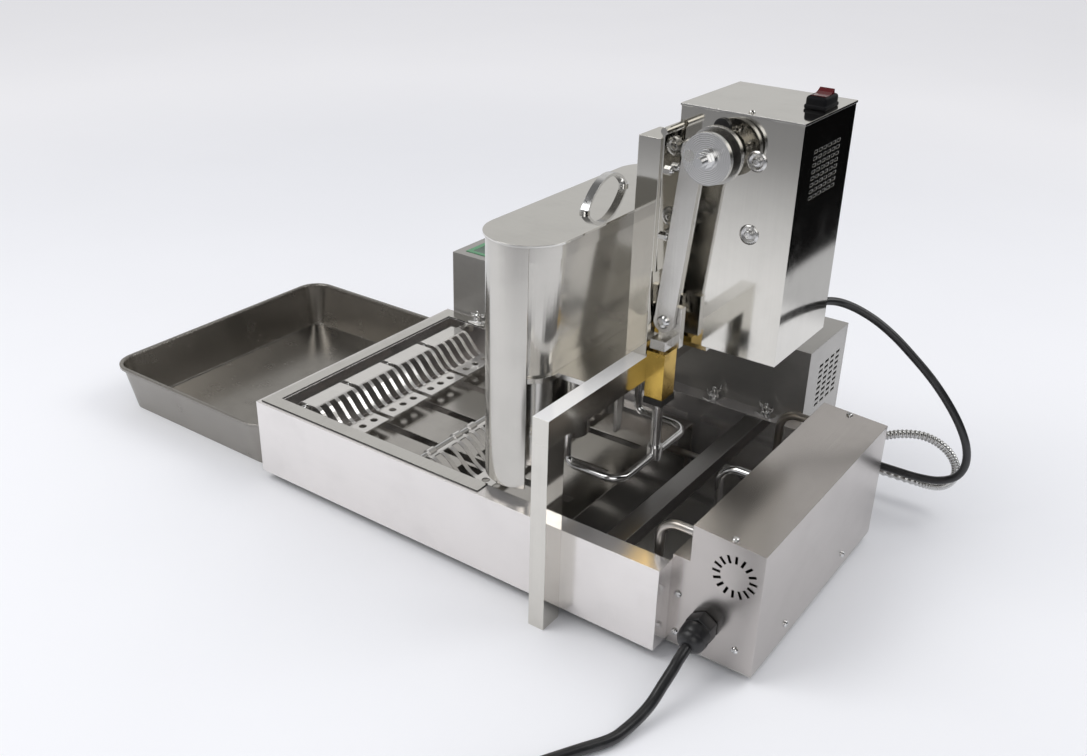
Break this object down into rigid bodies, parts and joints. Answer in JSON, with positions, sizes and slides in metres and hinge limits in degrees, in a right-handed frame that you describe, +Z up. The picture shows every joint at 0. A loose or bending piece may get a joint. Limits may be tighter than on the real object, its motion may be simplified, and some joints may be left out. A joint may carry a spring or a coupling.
{
  "type": "automatic doughnut fryer",
  "caption": "Bench-top doughnut machine: oil tank with lanes and turning scoops, batter hopper with crank-driven cutters, heater head, control box and collecting tray.",
  "frame": {"origin": "bottom centre of the machine and its tray, on the floor, the cords left out", "axes": "+X along the lanes from the collecting tray to the heater head, +Y to the control box, +Z up"},
  "size_m": [1.1134, 0.8907, 0.555],
  "materials": {
    "tank_sheet": "satin brushed stainless sheet",
    "polished_sheet": "mirror-polished stainless sheet",
    "plain_steel": "machined steel, satin",
    "bright_bar": "bright drawn or plated bar and screws",
    "dark_metal": "dark oxidised or painted metal",
    "heater_tube": "heat-tinted steel tube",
    "brass": "machined brass",
    "black_rubber": "black rubber and cord sheath",
    "black_plastic": "black moulded plastic",
    "red_plastic": "red moulded plastic",
    "panel_green": "green panel film, plain",
    "ceramic": "pale moulded terminal block",
    "tray_metal": "dull pressed steel",
    "conduit_metal": "ribbed metal conduit"
  },
  "bodies": {
    "base": {"oil_tank": "tank_sheet", "tank_feet": "black_rubber", "deck_frame": "polished_sheet", "lane_plate": "tank_sheet", "cross_bar": "plain_steel", "shaft_bearings": "plain_steel", "drive_chain": "dark_metal", "scoop_motor": "dark_metal", "heating_element": "heater_tube", "probe_sheath": "bright_bar", "heater_box": "tank_sheet", "heater_base": "plain_steel", "heater_feet": "black_rubber", "heater_screws": "bright_bar", "terminal_block": "ceramic", "cord_gland": "black_plastic", "gantry_leg": "polished_sheet", "gantry_beam": "polished_sheet", "gantry_post": "polished_sheet", "column": "polished_sheet", "side_bracket": "polished_sheet", "bracket_bolts": "bright_bar", "box_saddle": "plain_steel", "hopper_shelf": "plain_steel", "hopper_body": "polished_sheet", "hopper_shield": "polished_sheet", "nozzles": "plain_steel", "drive_box": "polished_sheet", "drive_box_lid": "polished_sheet", "gear_motor": "dark_metal", "motor_screws": "bright_bar", "position_sensor": "black_plastic", "guide_block": "brass", "switch_bezel": "black_plastic", "control_box": "polished_sheet", "control_panel": "panel_green", "cable_fittings": "black_plastic", "drive_cable": "black_rubber", "conduit_hose": "conduit_metal", "cord_run": "black_rubber", "cord_coil": "black_rubber", "cord_plug": "black_rubber"},
    "crank": {"crank_hub": "plain_steel", "crank_disc": "plain_steel", "disc_nut": "bright_bar"},
    "rod": {"con_rod": "plain_steel", "rod_eye_bolt": "bright_bar"},
    "cutter": {"crosshead": "plain_steel", "slider_rod": "bright_bar", "yoke": "bright_bar", "cutter_carriage": "plain_steel", "cutter_sleeves": "plain_steel"},
    "rocker": {"switch_rocker": "red_plastic"},
    "lid": {"hopper_lid": "polished_sheet", "lid_handle": "bright_bar"},
    "outlet": {"outlet_shaft": "bright_bar", "outlet_scoops": "polished_sheet"},
    "turner": {"turn_shaft": "bright_bar", "turn_scoops": "polished_sheet"},
    "tray": {"collecting_tray": "tray_metal"}
  },
  "joints": [
    {"name": "crank_turn", "type": "hinge", "parent": "base", "child": "crank", "pos_m": [0.342, -0.048, 0.496], "axis": [0, 1, 0], "range_deg": [0, 60]},
    {"name": "rod_swing", "type": "hinge", "parent": "crank", "child": "rod", "pos_m": [0.322, -0.0645, 0.496], "axis": [0, 1, 0], "range_deg": [-58.2, 0]},
    {"name": "cutter_lift", "type": "slide", "parent": "base", "child": "cutter", "axis": [0, 0, 1], "range_m": [0, 0.018]},
    {"name": "switch_press", "type": "hinge", "parent": "base", "child": "rocker", "pos_m": [0.407, 0.045, 0.547], "axis": [-1, 0, 0], "range_deg": [0, 20]},
    {"name": "lid_lift", "type": "slide", "parent": "base", "child": "lid", "axis": [0, 0, 1], "range_m": [0, 0.12]},
    {"name": "outlet_turn", "type": "hinge", "parent": "base", "child": "outlet", "pos_m": [-0.14, -0.0455, 0.106], "axis": [0, -1, 0], "range_deg": [0, 130]},
    {"name": "turn_over", "type": "hinge", "parent": "base", "child": "turner", "pos_m": [0.063, -0.0455, 0.106], "axis": [0, -1, 0], "range_deg": [0, 130]},
    {"name": "tray_pull", "type": "slide", "parent": "base", "child": "tray", "axis": [-1, 0, 0], "range_m": [0, 0.3]}
  ],
  "couplings": [
    {"joint": "rod_swing", "follows": "crank_turn", "ratio": -0.97},
    {"joint": "cutter_lift", "follows": "crank_turn", "m_per_rad": 0.017189},
    {"joint": "turn_over", "follows": "outlet_turn", "ratio": 1}
  ]
}
